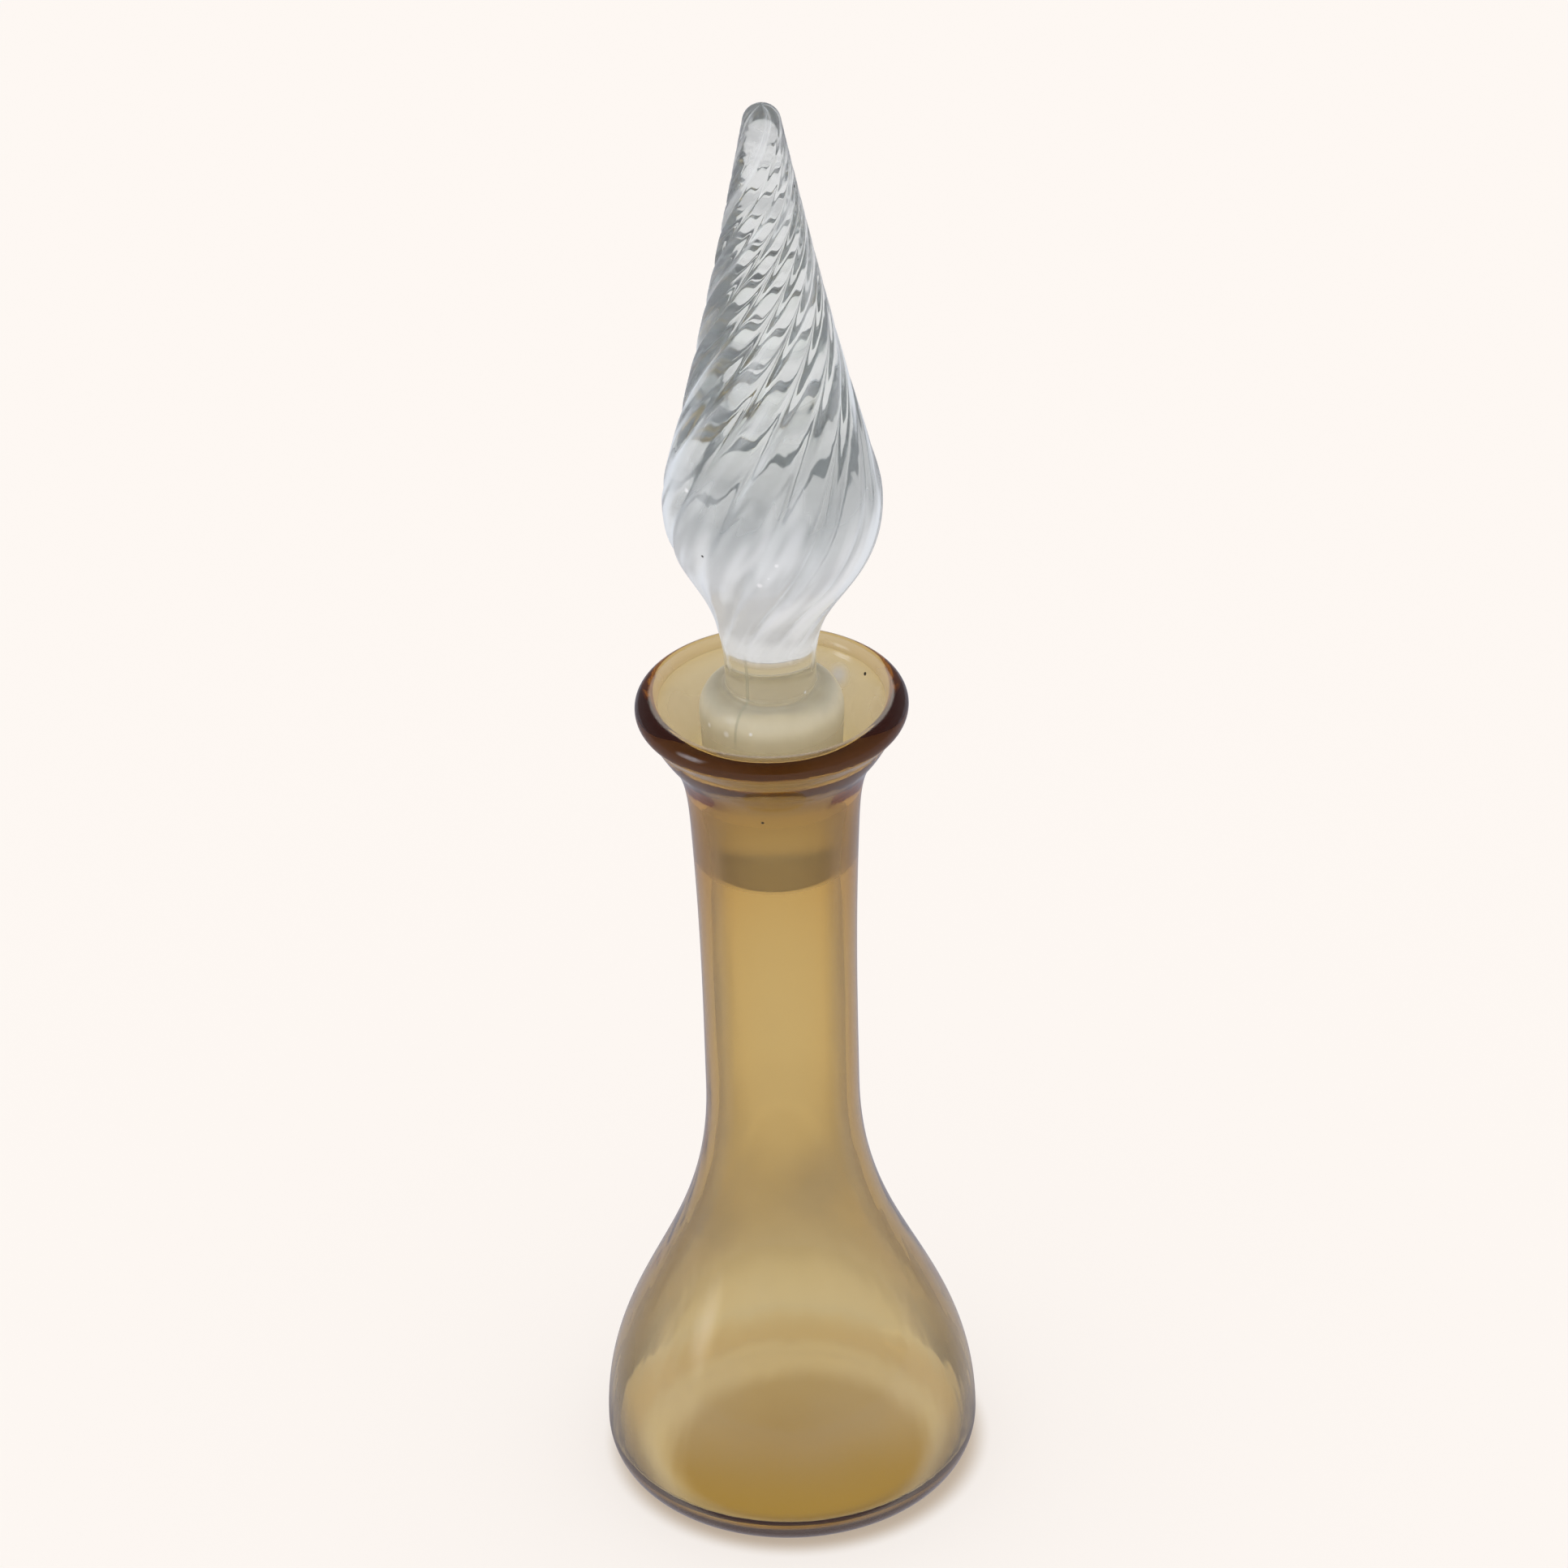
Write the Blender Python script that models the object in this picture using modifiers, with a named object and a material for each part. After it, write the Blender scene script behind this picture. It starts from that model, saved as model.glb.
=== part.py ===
"""Glass decanter with a flame stopper: an amber blown bottle and a clear pressed stopper.

Metres, +Z up. The bottle's foot stands on Z = 0, and both pieces turn about the Z axis.
The front is towards -Y.
"""

import math

import bmesh
import bpy

MM = 0.001

# Bottle, outside
BOTTLE_HEIGHT = 208.5 * MM
BELLY_DIAMETER = 87.0 * MM
BELLY_HEIGHT = 9.2 * MM          # height of the widest ring above the table
HEEL_WIDTH = 8.1 * MM            # how far the rounded heel runs in under the widest ring
FOOT_RING_WIDTH = 9.0 * MM       # flat ring that the bottle stands on
KICK_HEIGHT = 2.5 * MM           # push-up in the middle of the underside
NECK_DIAMETER = 35.3 * MM
NECK_HEIGHT = 103.0 * MM         # where the shoulder has become the neck
THROAT_DIAMETER = 38.0 * MM
FLARE_DEPTH = 33.8 * MM          # from the lip's crest down to where the neck begins to open
LIP_DIAMETER = 61.0 * MM
LIP_THICKNESS = 4.2 * MM
FLARE_ANGLE = 23.0               # degrees off upright, where the flare meets the lip

# How long each smooth curve holds its end directions
BELLY_PULL = 36.0 * MM           # upright above the widest ring
SHOULDER_PULL = 45.0 * MM        # upright below the neck
NECK_PULL = 25.0 * MM            # upright above the shoulder
THROAT_PULL = 29.0 * MM          # below the throat
FLARE_PULL = 20.0 * MM           # above the throat
LIP_PULL = 13.4 * MM             # below the lip
THROAT_ANGLE = 2.9               # degrees off upright, where neck and flare meet

# Bottle, inside
BELLY_WALL = 2.6 * MM
BASE_THICKNESS = 6.0 * MM
FLOOR_CORNER = 9.0 * MM
FLOOR_RISE = 1.2 * MM            # the floor swells a little over the push-up
NECK_BORE = 29.0 * MM
MOUTH_ANGLE = 31.0               # degrees off upright, where the inside of the flare meets the lip
MOUTH_PULL = 7.0 * MM

# Ground joint between the plug and the neck
JOINT_TAPER = 0.1                # change of diameter for each length, as on ground joints
JOINT_LENGTH = 19.0 * MM
JOINT_CLEARANCE = 0.3 * MM
PLUG_LENGTH = 39.5 * MM
PLUG_DEPTH = 43.3 * MM           # from the lip's crest down to the seated plug's lower face
PLUG_EDGE = 1.5 * MM             # rounding round the plug's lower face

# Stopper above the plug
DOME_HEIGHT = 6.6 * MM           # rounded shoulder between the plug and the stem
STEM_DIAMETER = 20.4 * MM
STEM_FILLET = 1.2 * MM
STEM_LENGTH = 2.5 * MM
FLAME_LENGTH = 139.5 * MM
FLAME_DIAMETER = 48.4 * MM
FLAME_BELLY = 43.5 * MM          # height of the flame's widest ring above the stem
FLAME_SHOULDER = 8.5 * MM        # how far the flame's curve holds upright above the widest ring
FLAME_HIP = 19.0 * MM            # the same, below the widest ring
FLAME_CALF = 23.0 * MM           # how far the flame's curve follows the stem
TIP_RADIUS = 3.6 * MM
TIP_ANGLE = 11.8                 # degrees off upright, where the flame's side meets its round tip
TIP_PULL = 80.0 * MM

# Swirl of the flame
RIB_COUNT = 12
RIB_DEPTH = 1.1 * MM
RIB_LEAN = 24.0                  # degrees that the grooves lean off upright
RIB_START = 9.0 * MM             # ribs rise out of the smooth cone above the stem
RIB_FADE = 20.0 * MM             # length over which they rise, and fade again to the tip

BOTTLE_SEGMENTS = 56
POINTS_PER_RIB = 6

AMBER = (0.62, 0.38, 0.12, 1.0)
CLEAR = (0.90, 0.92, 0.92, 1.0)


def arc(centre, radii, start, end, steps):
    """Points of an elliptical arc in the (radius, height) plane, angles in degrees."""
    points = []
    for i in range(steps + 1):
        angle = math.radians(start + (end - start) * i / steps)
        points.append((centre[0] + radii[0] * math.cos(angle), centre[1] + radii[1] * math.sin(angle)))
    return points


def curve(start, start_pull, end_pull, end, steps):
    """Points of a smooth curve that leaves start and reaches end along the two pulls."""
    corners = (
        start,
        (start[0] + start_pull[0], start[1] + start_pull[1]),
        (end[0] + end_pull[0], end[1] + end_pull[1]),
        end,
    )
    points = []
    for i in range(steps + 1):
        t = i / steps
        weights = ((1 - t) ** 3, 3 * t * (1 - t) ** 2, 3 * t * t * (1 - t), t ** 3)
        points.append(tuple(sum(w * c[axis] for w, c in zip(weights, corners)) for axis in (0, 1)))
    return points


def leaning(length, angle):
    """A pull of this length that leans outwards by an angle in degrees off upright."""
    return (length * math.sin(math.radians(angle)), length * math.cos(math.radians(angle)))


def against(pull):
    """The same pull, pointing the other way."""
    return (-pull[0], -pull[1])


def joined(*runs):
    """One outline from several runs, without the points that two runs share."""
    outline = []
    for run in runs:
        for point in run:
            if not outline or math.dist(point, outline[-1]) > 1e-6:
                outline.append(point)
    return outline


def plug_seat():
    """Height above the table of the seated plug's lower face."""
    return BOTTLE_HEIGHT - PLUG_DEPTH


def plug_radius(height):
    """Radius of the plug's ground taper at a height above the table."""
    lower = NECK_BORE / 2 - JOINT_CLEARANCE
    return lower + (height - plug_seat()) * JOINT_TAPER / 2


def bottle_inside():
    """Inner wall, from the middle of the floor up to the lip."""
    belly = BELLY_DIAMETER / 2 - BELLY_WALL
    bore = NECK_BORE / 2
    floor = BASE_THICKNESS
    joint_top = plug_seat() + JOINT_LENGTH
    joint_radius = plug_radius(joint_top) + JOINT_CLEARANCE
    corner_top = floor + FLOOR_CORNER
    belly_pull = BELLY_HEIGHT + BELLY_PULL - 2 * BELLY_WALL - corner_top
    lip_centre = lip_round_centre()
    mouth = lip_point(180 - MOUTH_ANGLE)
    taper_angle = math.degrees(math.atan(JOINT_TAPER / 2))
    return joined(
        curve((0, floor + FLOOR_RISE), (belly / 3, 0), (-belly / 3, 0), (belly - FLOOR_CORNER, floor), 3),
        arc((belly - FLOOR_CORNER, corner_top), (FLOOR_CORNER, FLOOR_CORNER), -90, 0, 4),
        curve((belly, corner_top), (0, belly_pull), (0, -SHOULDER_PULL), (bore, NECK_HEIGHT), 11),
        [(bore, plug_seat()), (joint_radius, joint_top)],
        curve((joint_radius, joint_top), leaning(MOUTH_PULL, taper_angle),
              against(leaning(MOUTH_PULL, MOUTH_ANGLE)), mouth, 6),
        arc(lip_centre, (LIP_THICKNESS / 2, LIP_THICKNESS / 2), 180 - MOUTH_ANGLE, 90, 3),
    )


def lip_round_centre():
    """Middle of the lip's rounding, in the (radius, height) plane."""
    half = LIP_THICKNESS / 2
    return (LIP_DIAMETER / 2 - half, BOTTLE_HEIGHT - half)


def lip_point(angle):
    """Point of the lip's rounding at an angle in degrees above outwards."""
    centre = lip_round_centre()
    half = LIP_THICKNESS / 2
    turn = math.radians(angle)
    return (centre[0] + half * math.cos(turn), centre[1] + half * math.sin(turn))


def bottle_outside():
    """Outer wall, from the lip's crest down to the middle of the underside."""
    belly = BELLY_DIAMETER / 2
    neck = NECK_DIAMETER / 2
    throat = (THROAT_DIAMETER / 2, BOTTLE_HEIGHT - FLARE_DEPTH)
    rim = lip_point(-FLARE_ANGLE)
    foot = belly - HEEL_WIDTH
    above = leaning(FLARE_PULL, THROAT_ANGLE)
    below = against(leaning(THROAT_PULL, THROAT_ANGLE))
    inner_foot = foot - FOOT_RING_WIDTH
    return joined(
        arc(lip_round_centre(), (LIP_THICKNESS / 2, LIP_THICKNESS / 2), 90, -FLARE_ANGLE, 4),
        curve(rim, against(leaning(LIP_PULL, FLARE_ANGLE)), above, throat, 7),
        curve(throat, below, (0, NECK_PULL), (neck, NECK_HEIGHT), 5),
        curve((neck, NECK_HEIGHT), (0, -SHOULDER_PULL), (0, BELLY_PULL), (belly, BELLY_HEIGHT), 13),
        arc((foot, BELLY_HEIGHT), (HEEL_WIDTH, BELLY_HEIGHT), 0, -90, 5),
        [(inner_foot, 0)],
        curve((inner_foot, 0), (-inner_foot / 3, KICK_HEIGHT / 2), (inner_foot / 2, 0), (0, KICK_HEIGHT), 3),
    )


def stopper_outline():
    """The stopper's smooth outline, from its tip down to the middle of the plug's lower face."""
    shoulder_z = plug_seat() + PLUG_LENGTH
    shoulder = plug_radius(shoulder_z)
    stem = STEM_DIAMETER / 2
    dome_top = shoulder_z + DOME_HEIGHT
    flame_z = flame_base()
    tip_z = flame_z + FLAME_LENGTH - TIP_RADIUS
    round_tip = arc((0, tip_z), (TIP_RADIUS, TIP_RADIUS), 90, TIP_ANGLE, 3)
    widest = (FLAME_DIAMETER / 2, flame_z + FLAME_BELLY)
    side = leaning(TIP_PULL, -TIP_ANGLE)
    plug_foot = plug_radius(plug_seat() + PLUG_EDGE)
    edge_centre = (plug_foot - PLUG_EDGE, plug_seat() + PLUG_EDGE)
    return joined(
        round_tip,
        curve(round_tip[-1], against(side), (0, FLAME_SHOULDER), widest, 22),
        curve(widest, (0, -FLAME_HIP), (0, FLAME_CALF), (stem, flame_z), 11),
        arc((stem + STEM_FILLET, dome_top + STEM_FILLET), (STEM_FILLET, STEM_FILLET), 180, 270, 2),
        arc((stem + STEM_FILLET, dome_top - DOME_HEIGHT),
            (shoulder - stem - STEM_FILLET, DOME_HEIGHT), 90, 0, 5),
        arc(edge_centre, (PLUG_EDGE, PLUG_EDGE), 0, -90, 3),
        [(0, plug_seat())],
    )


def flame_base():
    """Height above the table at which the stem opens into the flame."""
    return plug_seat() + PLUG_LENGTH + DOME_HEIGHT + STEM_FILLET + STEM_LENGTH


def glass(name, colour, roughness):
    """A plain glass material."""
    material = bpy.data.materials.new(name)
    material.use_nodes = True
    shader = material.node_tree.nodes["Principled BSDF"]
    shader.inputs["Base Color"].default_value = colour
    shader.inputs["Roughness"].default_value = roughness
    shader.inputs["Metallic"].default_value = 0.0
    shader.inputs["IOR"].default_value = 1.5
    shader.inputs["Transmission Weight"].default_value = 1.0
    material.diffuse_color = colour
    return material


def turned(name, outline, segments, material, collection):
    """A solid turned about the Z axis from an outline that starts and ends on the axis."""
    mesh = bpy.data.meshes.new(name)
    points = [(radius, 0.0, height) for radius, height in outline]
    edges = [(i, i + 1) for i in range(len(points) - 1)]
    mesh.from_pydata(points, edges, [])
    piece = bpy.data.objects.new(name, mesh)
    collection.objects.link(piece)
    screw = piece.modifiers.new("turn", "SCREW")
    screw.axis = "Z"
    screw.angle = math.tau
    screw.steps = segments
    screw.render_steps = segments
    screw.use_merge_vertices = True
    screw.merge_threshold = 0.00001
    screw.use_smooth_shade = True
    mesh.materials.append(material)
    return piece


def swirl_table(outline):
    """Angle that the grooves have turned by, at each height of the flame's side."""
    base = flame_base() + RIB_START
    side = sorted((height, radius) for radius, height in outline if height >= base)
    lean = math.tan(math.radians(RIB_LEAN))
    angle = 0.0
    table = [(side[0][0], angle)]
    for (low, low_radius), (high, high_radius) in zip(side, side[1:]):
        radius = max((low_radius + high_radius) / 2, 2 * TIP_RADIUS)
        angle += lean * (high - low) / radius
        table.append((high, angle))
    return table


def swirl_at(table, height):
    """Swirl angle at a height, read between the rows of the table."""
    if height <= table[0][0]:
        return 0.0
    for (low, low_angle), (high, high_angle) in zip(table, table[1:]):
        if height <= high:
            return low_angle + (high_angle - low_angle) * (height - low) / (high - low)
    return table[-1][1]


def ease(value):
    """Smooth step from 0 to 1."""
    value = min(max(value, 0.0), 1.0)
    return value * value * (3 - 2 * value)


def cut_swirl(piece, outline):
    """Flute the flame with round ribs between narrow grooves, and wind them about its axis."""
    depsgraph = bpy.context.evaluated_depsgraph_get()
    mesh = bpy.data.meshes.new_from_object(piece.evaluated_get(depsgraph))
    table = swirl_table(outline)
    base = flame_base() + RIB_START
    tip = flame_base() + FLAME_LENGTH
    work = bmesh.new()
    work.from_mesh(mesh)
    for vertex in work.verts:
        x, y, height = vertex.co
        radius = math.hypot(x, y)
        if height <= base or radius < 1e-6:
            continue
        turn = math.atan2(y, x)
        strength = ease((height - base) / RIB_FADE) * ease((tip - height) / (2 * RIB_FADE))
        groove = 1 - abs(math.sin(RIB_COUNT * turn / 2))
        radius -= RIB_DEPTH * strength * groove * min(radius / (FLAME_DIAMETER / 4), 1.0)
        turn += swirl_at(table, height)
        vertex.co.x = radius * math.cos(turn)
        vertex.co.y = radius * math.sin(turn)
    work.to_mesh(mesh)
    work.free()
    piece.modifiers.clear()
    piece.data = mesh


def make_bottle(collection):
    """The amber bottle: one blown wall with an open mouth and a thick base."""
    outline = joined(bottle_inside(), bottle_outside())
    return turned("bottle", outline, BOTTLE_SEGMENTS, glass("amber_glass", AMBER, 0.03), collection)


def make_stopper(collection):
    """The clear stopper: ground plug, domed shoulder, stem and swirled flame in one piece."""
    outline = stopper_outline()
    segments = RIB_COUNT * POINTS_PER_RIB
    piece = turned("stopper", outline, segments, glass("clear_glass", CLEAR, 0.05), collection)
    cut_swirl(piece, outline)
    piece.data.shade_smooth()
    return piece


def main():
    for old in list(bpy.data.objects):
        bpy.data.objects.remove(old)
    collection = bpy.data.collections.new("flame_stopper_decanter")
    bpy.context.scene.collection.children.link(collection)
    make_bottle(collection)
    make_stopper(collection)


main()
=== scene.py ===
"""Amber glass decanter with a clear flame stopper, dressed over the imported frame.

Laid out as a Blender add-on and run as a script. Metres, +Z up, the front towards -Y.
"""

import math

import bmesh
import bpy
from mathutils import Matrix, Vector, noise


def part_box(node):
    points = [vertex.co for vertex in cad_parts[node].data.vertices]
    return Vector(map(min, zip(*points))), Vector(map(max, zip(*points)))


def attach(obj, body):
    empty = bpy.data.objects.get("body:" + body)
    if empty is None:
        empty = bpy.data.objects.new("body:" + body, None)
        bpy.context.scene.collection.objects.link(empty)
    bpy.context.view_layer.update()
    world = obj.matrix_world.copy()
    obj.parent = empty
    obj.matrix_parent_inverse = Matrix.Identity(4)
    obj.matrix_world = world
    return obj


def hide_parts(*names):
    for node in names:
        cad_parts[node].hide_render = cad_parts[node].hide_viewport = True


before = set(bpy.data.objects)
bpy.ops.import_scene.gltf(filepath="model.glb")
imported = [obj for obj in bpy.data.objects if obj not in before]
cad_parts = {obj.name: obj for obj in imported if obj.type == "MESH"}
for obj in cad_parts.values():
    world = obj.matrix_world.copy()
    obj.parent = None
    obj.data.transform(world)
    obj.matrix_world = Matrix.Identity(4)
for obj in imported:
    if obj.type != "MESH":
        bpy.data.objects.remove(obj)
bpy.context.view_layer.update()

bl_info = {
    "name": "Flame Stopper Decanter",
    "version": (1, 0, 0),
    "blender": (4, 5, 0),
    "location": "View3D > Sidebar > Decanter",
    "description": "Amber glass decanter with a clear swirl-ribbed flame stopper",
    "category": "Object",
}

BOTTLE_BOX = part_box("bottle")
STOPPER_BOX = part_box("stopper")
MM = 0.001

# Balls on the glass: x, y, z and radius in millimetres. The specks are dark flecks, the flame's and
# plug's balls painted highlights, the bowl's ball a painted reflection of the window, the shoulder's
# balls painted shade
FLAME_SPECKS = ((7.8, -2.5, 336.1, 0.5), (18.4, -1.8, 287.4, 0.4), (-14.1, -17.8, 254.6, 0.45),
                (12.1, -19.6, 249.3, 0.45))
FLAME_HIGHLIGHTS = ((2.0, -23.9, 255.5, 0.7), (-1.8, -22.8, 249.9, 0.9), (0.2, -23.3, 252.0, 0.5),
                (-15.6, -10.2, 273.5, 1.1), (-17.0, -12.0, 268.0, 0.8), (14.5, -17.4, 248.4, 0.5))
PLUG_HIGHLIGHTS = ((-13.9, -8.2, 205.6, 0.8), (-10.2, -12.5, 205.7, 1.0), (-4.8, -15.1, 207.1, 0.6),
               (7.5, -6.9, 212.6, 0.5))
BOWL_SPECKS = ((21.1, 13.8, 204.1, 0.5), (-2.7, -20.3, 187.2, 0.4))
BOWL_WINDOW_REFLECTION = ((15.4, 18.1, 201.2, 3.6),)
# Painted shade on the shoulder, dark reflections of the room
PAINTED_SHOULDER_SHADES = ((9.3, -16.5, 86.3, 15.0), (-17.9, -12.5, 74.0, 14.0))

# How long the curves of the bottle's section hold their end directions, in metres
BELLY_PULL = 0.036
SHOULDER_PULL = 0.045
NECK_PULL = 0.025
THROAT_PULL = 0.029
FLARE_PULL = 0.011
SLOPE_PULL = 0.0055
SHELF_PULL = 0.0018
RING_PULL = 0.0008
LIP_PULL = 0.0017
JOINT_PULL = 0.006
FUNNEL_PULL = 0.0016
CUP_PULL = 0.0010
MOUTH_PULL = 0.0022

# The same for the stopper's section
TIP_PULL = 0.080
FLAME_SHOULDER = 0.0085
FLAME_HIP = 0.019
FLAME_CALF = 0.023

# Over, under and below the soft ring: inwards from the lip and down from its crest, in millimetres
SOFT_RING = ((2.2, 6.97), (3.12, 8.2), (6.5, 14.0))
HALF_TAPER = 0.05                # change of the ground joint's radius for each length

# Steps round the axis
BOTTLE_STEPS = 224
STEPS_PER_RIB = 20

# Gaps in metres under which points count as one, and the least weight that a vertex group takes
OUTLINE_JOIN = 0.000002
SEAM_JOIN = 0.000005
LEAST_WEIGHT = 0.001

# Lengths over which the ribs start, rise, fade to the tip and change their lean, in metres
RIB_START = 0.009
RIB_RISE = 0.020
RIB_FADE = 0.040
LEAN_CHANGE = 0.040

# Noise that makes the grooves uneven: scales round the axis and up it, then shares of their depth
UNEVEN_SCALES = (1.7, 14.0)
UNEVEN_MEAN = 0.72
UNEVEN_SPREAD = 0.9
UNEVEN_LEAST = 0.25

# Noise of the milky streaks: scales as above, then roughness, step between octaves and octaves
STREAK_SCALES = (2.2, 28.0)
STREAK_NOISE = (0.6, 2.0, 3)

# Floor: lengths in metres, but the paper's fade as shares of its radius and the loss of the painted
# amber light under the base as a share
FLOOR_SIZE = 12.0
PAPER_FADE = (0.9, 1.15)
UNDER_FADE = (-0.005, 0.004)
UNDER_FRONT = -0.010
UNDER_LOSS = 0.4
TOUCH_ASIDE = 0.0010
TOUCH_FADE = (0.0, 0.0065)

# Camera: sensor in millimetres, clipping in metres
SENSOR_WIDTH = 36.0
CLIP_RANGE = (0.05, 50.0)

# Room: colour of the even light, then fades by the parts of a direction
OPEN_LIGHT = (1.02, 1.02, 1.02)
ROOM_RISE = (-0.1, 0.8)
ROOM_FRONT = (0.15, 0.75)
CEILING_RISE = (0.35, 0.75)

# Windows: direction, half width and half height as slopes; their edge as shares of the half sizes
WINDOW = ((-0.89, -0.30, 0.34), 0.16, 0.26)
CAMERA_GAP = ((0.06, -0.84, 0.53), 0.55, 1.2)
WINDOW_EDGE = (0.2, 1.5)

# Both glasses: refractive index, detail of the smear, and how much of it shows in the painted highlights
REFRACTION = 1.5
SMEAR_DETAIL = 3.0
HIGHLIGHT_SMEAR = 1.4

# Amber glass: scales and stretch of its noises
AMBER_SMEAR = 60.0
AMBER_WAVES = 110.0
AMBER_STRETCH = (1.0, 1.0, 0.09)

# Amber glass: fades in metres past the joint's ends, the bore, the film's top and the haze's start
JOINT_FADE = (-0.0005, 0.0005)
JOINT_SKIN = (0.0013, 0.0017)
FILM_FADE = (-0.012, 0.012)
BLOOM_FADE = (0.0, 0.025)

# Amber glass: fades between heights above the table or distances from the axis, in metres
FOOT_HEIGHTS = (0.004, 0.007)
FOOT_RADII = (0.031, 0.036)
HEEL_RISE = (0.004, 0.008)
HEEL_FALL = (0.010, 0.029)
HEEL_RADII = (0.034, 0.039)
BLOOM_CLIMB = (0.03, 0.11)
MOUTH_HEIGHTS = (0.188, 0.194)
MOUTH_RADII = (0.0270, 0.0277)
MOUTH_LEAN = 0.45                # how much the haze in the mouth narrows with depth

# Amber glass: fades by how far the surface turns away, for the painted brown shade past its own start,
# and for the violet film painted as sheen and shade at the edges
BROWN_SHADE_FADE = (0.0, 0.24)
EDGE_SHEEN_TURN = (0.50, 0.96)

# Amber glass: gain and least value of what a noise or a fade steers
AMBER_POLISH = (0.03, 0.015)
BLOOM_SHARE = (0.95, 0.05)
COVER_SMEAR = (0.8, 0.6)
SHOULDER_SHADE_SMEAR = 2.0
HEEL_SHADE_TONE = 0.8

# Clear glass: scales and stretch of its noises
CLEAR_SMEAR = 90.0
CLEAR_WAVES = 130.0
CLEAR_STRETCH = (1.0, 1.0, 0.5)

# Clear glass: fades in metres past the plug's shoulder
GROUND_FADE = (-0.003, 0.001)
PLUG_DULL_FADE = (0.002, 0.008)
STEM_DULL_RISE = (0.0, 0.006)

# Clear glass: fades in metres past the plug's lower face
PLUG_FOOT_FADE = (0.014, 0.026)
SEAM_RISE = (0.036, 0.041)

# Clear glass: fades in metres past the flame's foot, and one past its tip
STEM_DULL_FALL = (0.005, 0.009)
MILK_RISE = (0.005, 0.010)
MILK_FALL = (0.026, 0.062)
RIM_RISE = (0.0, 0.01)
SEAM_FALL = (0.006, 0.010)
RIM_FALL = (-0.075, -0.035)

# Clear glass: fades by the noise of the streaks or by how far the surface turns away, for the milky
# streaks with their painted highlights and for the painted bluish highlights at the rim
MILKY_HIGHLIGHT_STREAK = (0.45, 0.85)
RIM_STREAK = (0.42, 0.70)
RIM_TURN = (0.40, 0.85)

# Clear glass: gain and least value of what a noise or a fade steers, and shares of the dull film
CLEAR_POLISH = (0.02, 0.005)
PLUG_FOOT_SHARE = (0.92, 0.08)
DULL_SMEAR = (0.6, 0.7)
PLUG_DULL = 0.8
STEM_DULL = 0.4

# Mould seam: shares of x and y in the distance from its plane, its half width and front in metres
SEAM_WAY = (0.86, 0.51)
SEAM_WIDTH = (0.0001, 0.0005)
SEAM_FRONT = (-0.001, 0.0)
SEAM_AMOUNT = 0.45


def length(name, description, default):
    """A size in metres for a property group."""
    return bpy.props.FloatProperty(
        name=name, description=description, default=default, precision=5,
        unit="LENGTH", subtype="DISTANCE")


def angle(name, description, degrees):
    """An angle for a property group, given in degrees."""
    return bpy.props.FloatProperty(
        name=name, description=description, default=math.radians(degrees),
        unit="ROTATION", subtype="ANGLE")


def amount(name, description, default):
    """A plain number for a property group."""
    return bpy.props.FloatProperty(name=name, description=description, default=default, precision=4)


def colour(name, description, default):
    """A colour for a property group."""
    return bpy.props.FloatVectorProperty(
        name=name, description=description, default=default, size=3, min=0.0, max=1.0, subtype="COLOR")


class BottleSizes(bpy.types.PropertyGroup):
    """Sizes of the amber bottle"""

    height: length("Height", "From the table to the lip's crest", BOTTLE_BOX[1][2])
    belly: length("Belly radius", "Radius of the widest ring", BOTTLE_BOX[1][0])
    belly_height: length("Belly height", "Height of the widest ring", 9.2 * MM)
    heel: length("Heel", "How far the rounded heel runs in under the widest ring", 6.5 * MM)
    foot_ring: length("Foot ring", "Width of the flat ring that the bottle stands on", 4.6 * MM)
    kick: length("Kick", "Push-up in the middle of the underside", 0.35 * MM)
    neck: length("Neck radius", "Radius of the neck above the shoulder", 17.65 * MM)
    neck_height: length("Neck height", "Where the shoulder has become the neck", 103.0 * MM)
    throat: length("Throat radius", "Radius where the neck begins to open", 19.0 * MM)
    flare: length("Flare depth", "From the lip's crest down to the throat", 33.8 * MM)
    lip: length("Lip radius", "Radius outside the lip", 30.5 * MM)
    lip_outer: length("Lip outer rounding", "Rounding outside the lip's crest", 3.20 * MM)
    lip_inner: length("Lip inner rounding", "Rounding inside the lip's crest", 1.60 * MM)
    lip_flat: length("Lip flat", "Width of the crest between its two roundings", 0.30 * MM)
    cup: length("Cup", "Depth of the more upright mouth over the funnel", 3.0 * MM)
    cup_radius: length("Cup radius", "Radius inside where the funnel begins", 26.0 * MM)
    funnel: length("Funnel", "Depth of the funnel's lower end under the crest", 9.778 * MM)
    funnel_radius: length("Funnel end radius", "Radius inside at the funnel's lower end", 22.4 * MM)
    wall: length("Wall", "Thickness of the belly's wall", 1.9 * MM)
    base: length("Base", "Thickness of the base at the edge of the floor", 2.8 * MM)
    floor_corner: length(
        "Floor corner", "How far the rounding of the floor runs in from the wall", 10.5 * MM)
    floor_lift: length("Floor lift", "How far the rounding of the floor runs up the wall", 6.0 * MM)
    floor_rise: length("Floor rise", "How far the floor swells over the push-up", 0.4 * MM)
    bore: length("Bore radius", "Radius inside the neck", 14.5 * MM)
    joint: length("Joint length", "Length of the ground joint in the neck", 19.0 * MM)
    flare_angle: angle("Flare angle", "Outside of the flare at the lip, off upright", 5.1)
    mouth_angle: angle("Mouth angle", "Inside of the mouth at the lip, off upright", 34.0)
    funnel_angle: angle("Funnel angle", "Slope of the funnel in the mouth, off upright", 33.0)
    shelf_angle: angle("Shelf angle", "Outside just under the soft ring, off upright", 24.0)
    slope_angle: angle("Slope angle", "Slope of the flare under the ring, off upright", 37.2)
    ring_angle: angle("Ring angle", "Slope over the soft ring under the lip, off upright", 36.0)
    throat_angle: angle("Throat angle", "Outside at the throat, off upright", 2.9)


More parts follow.
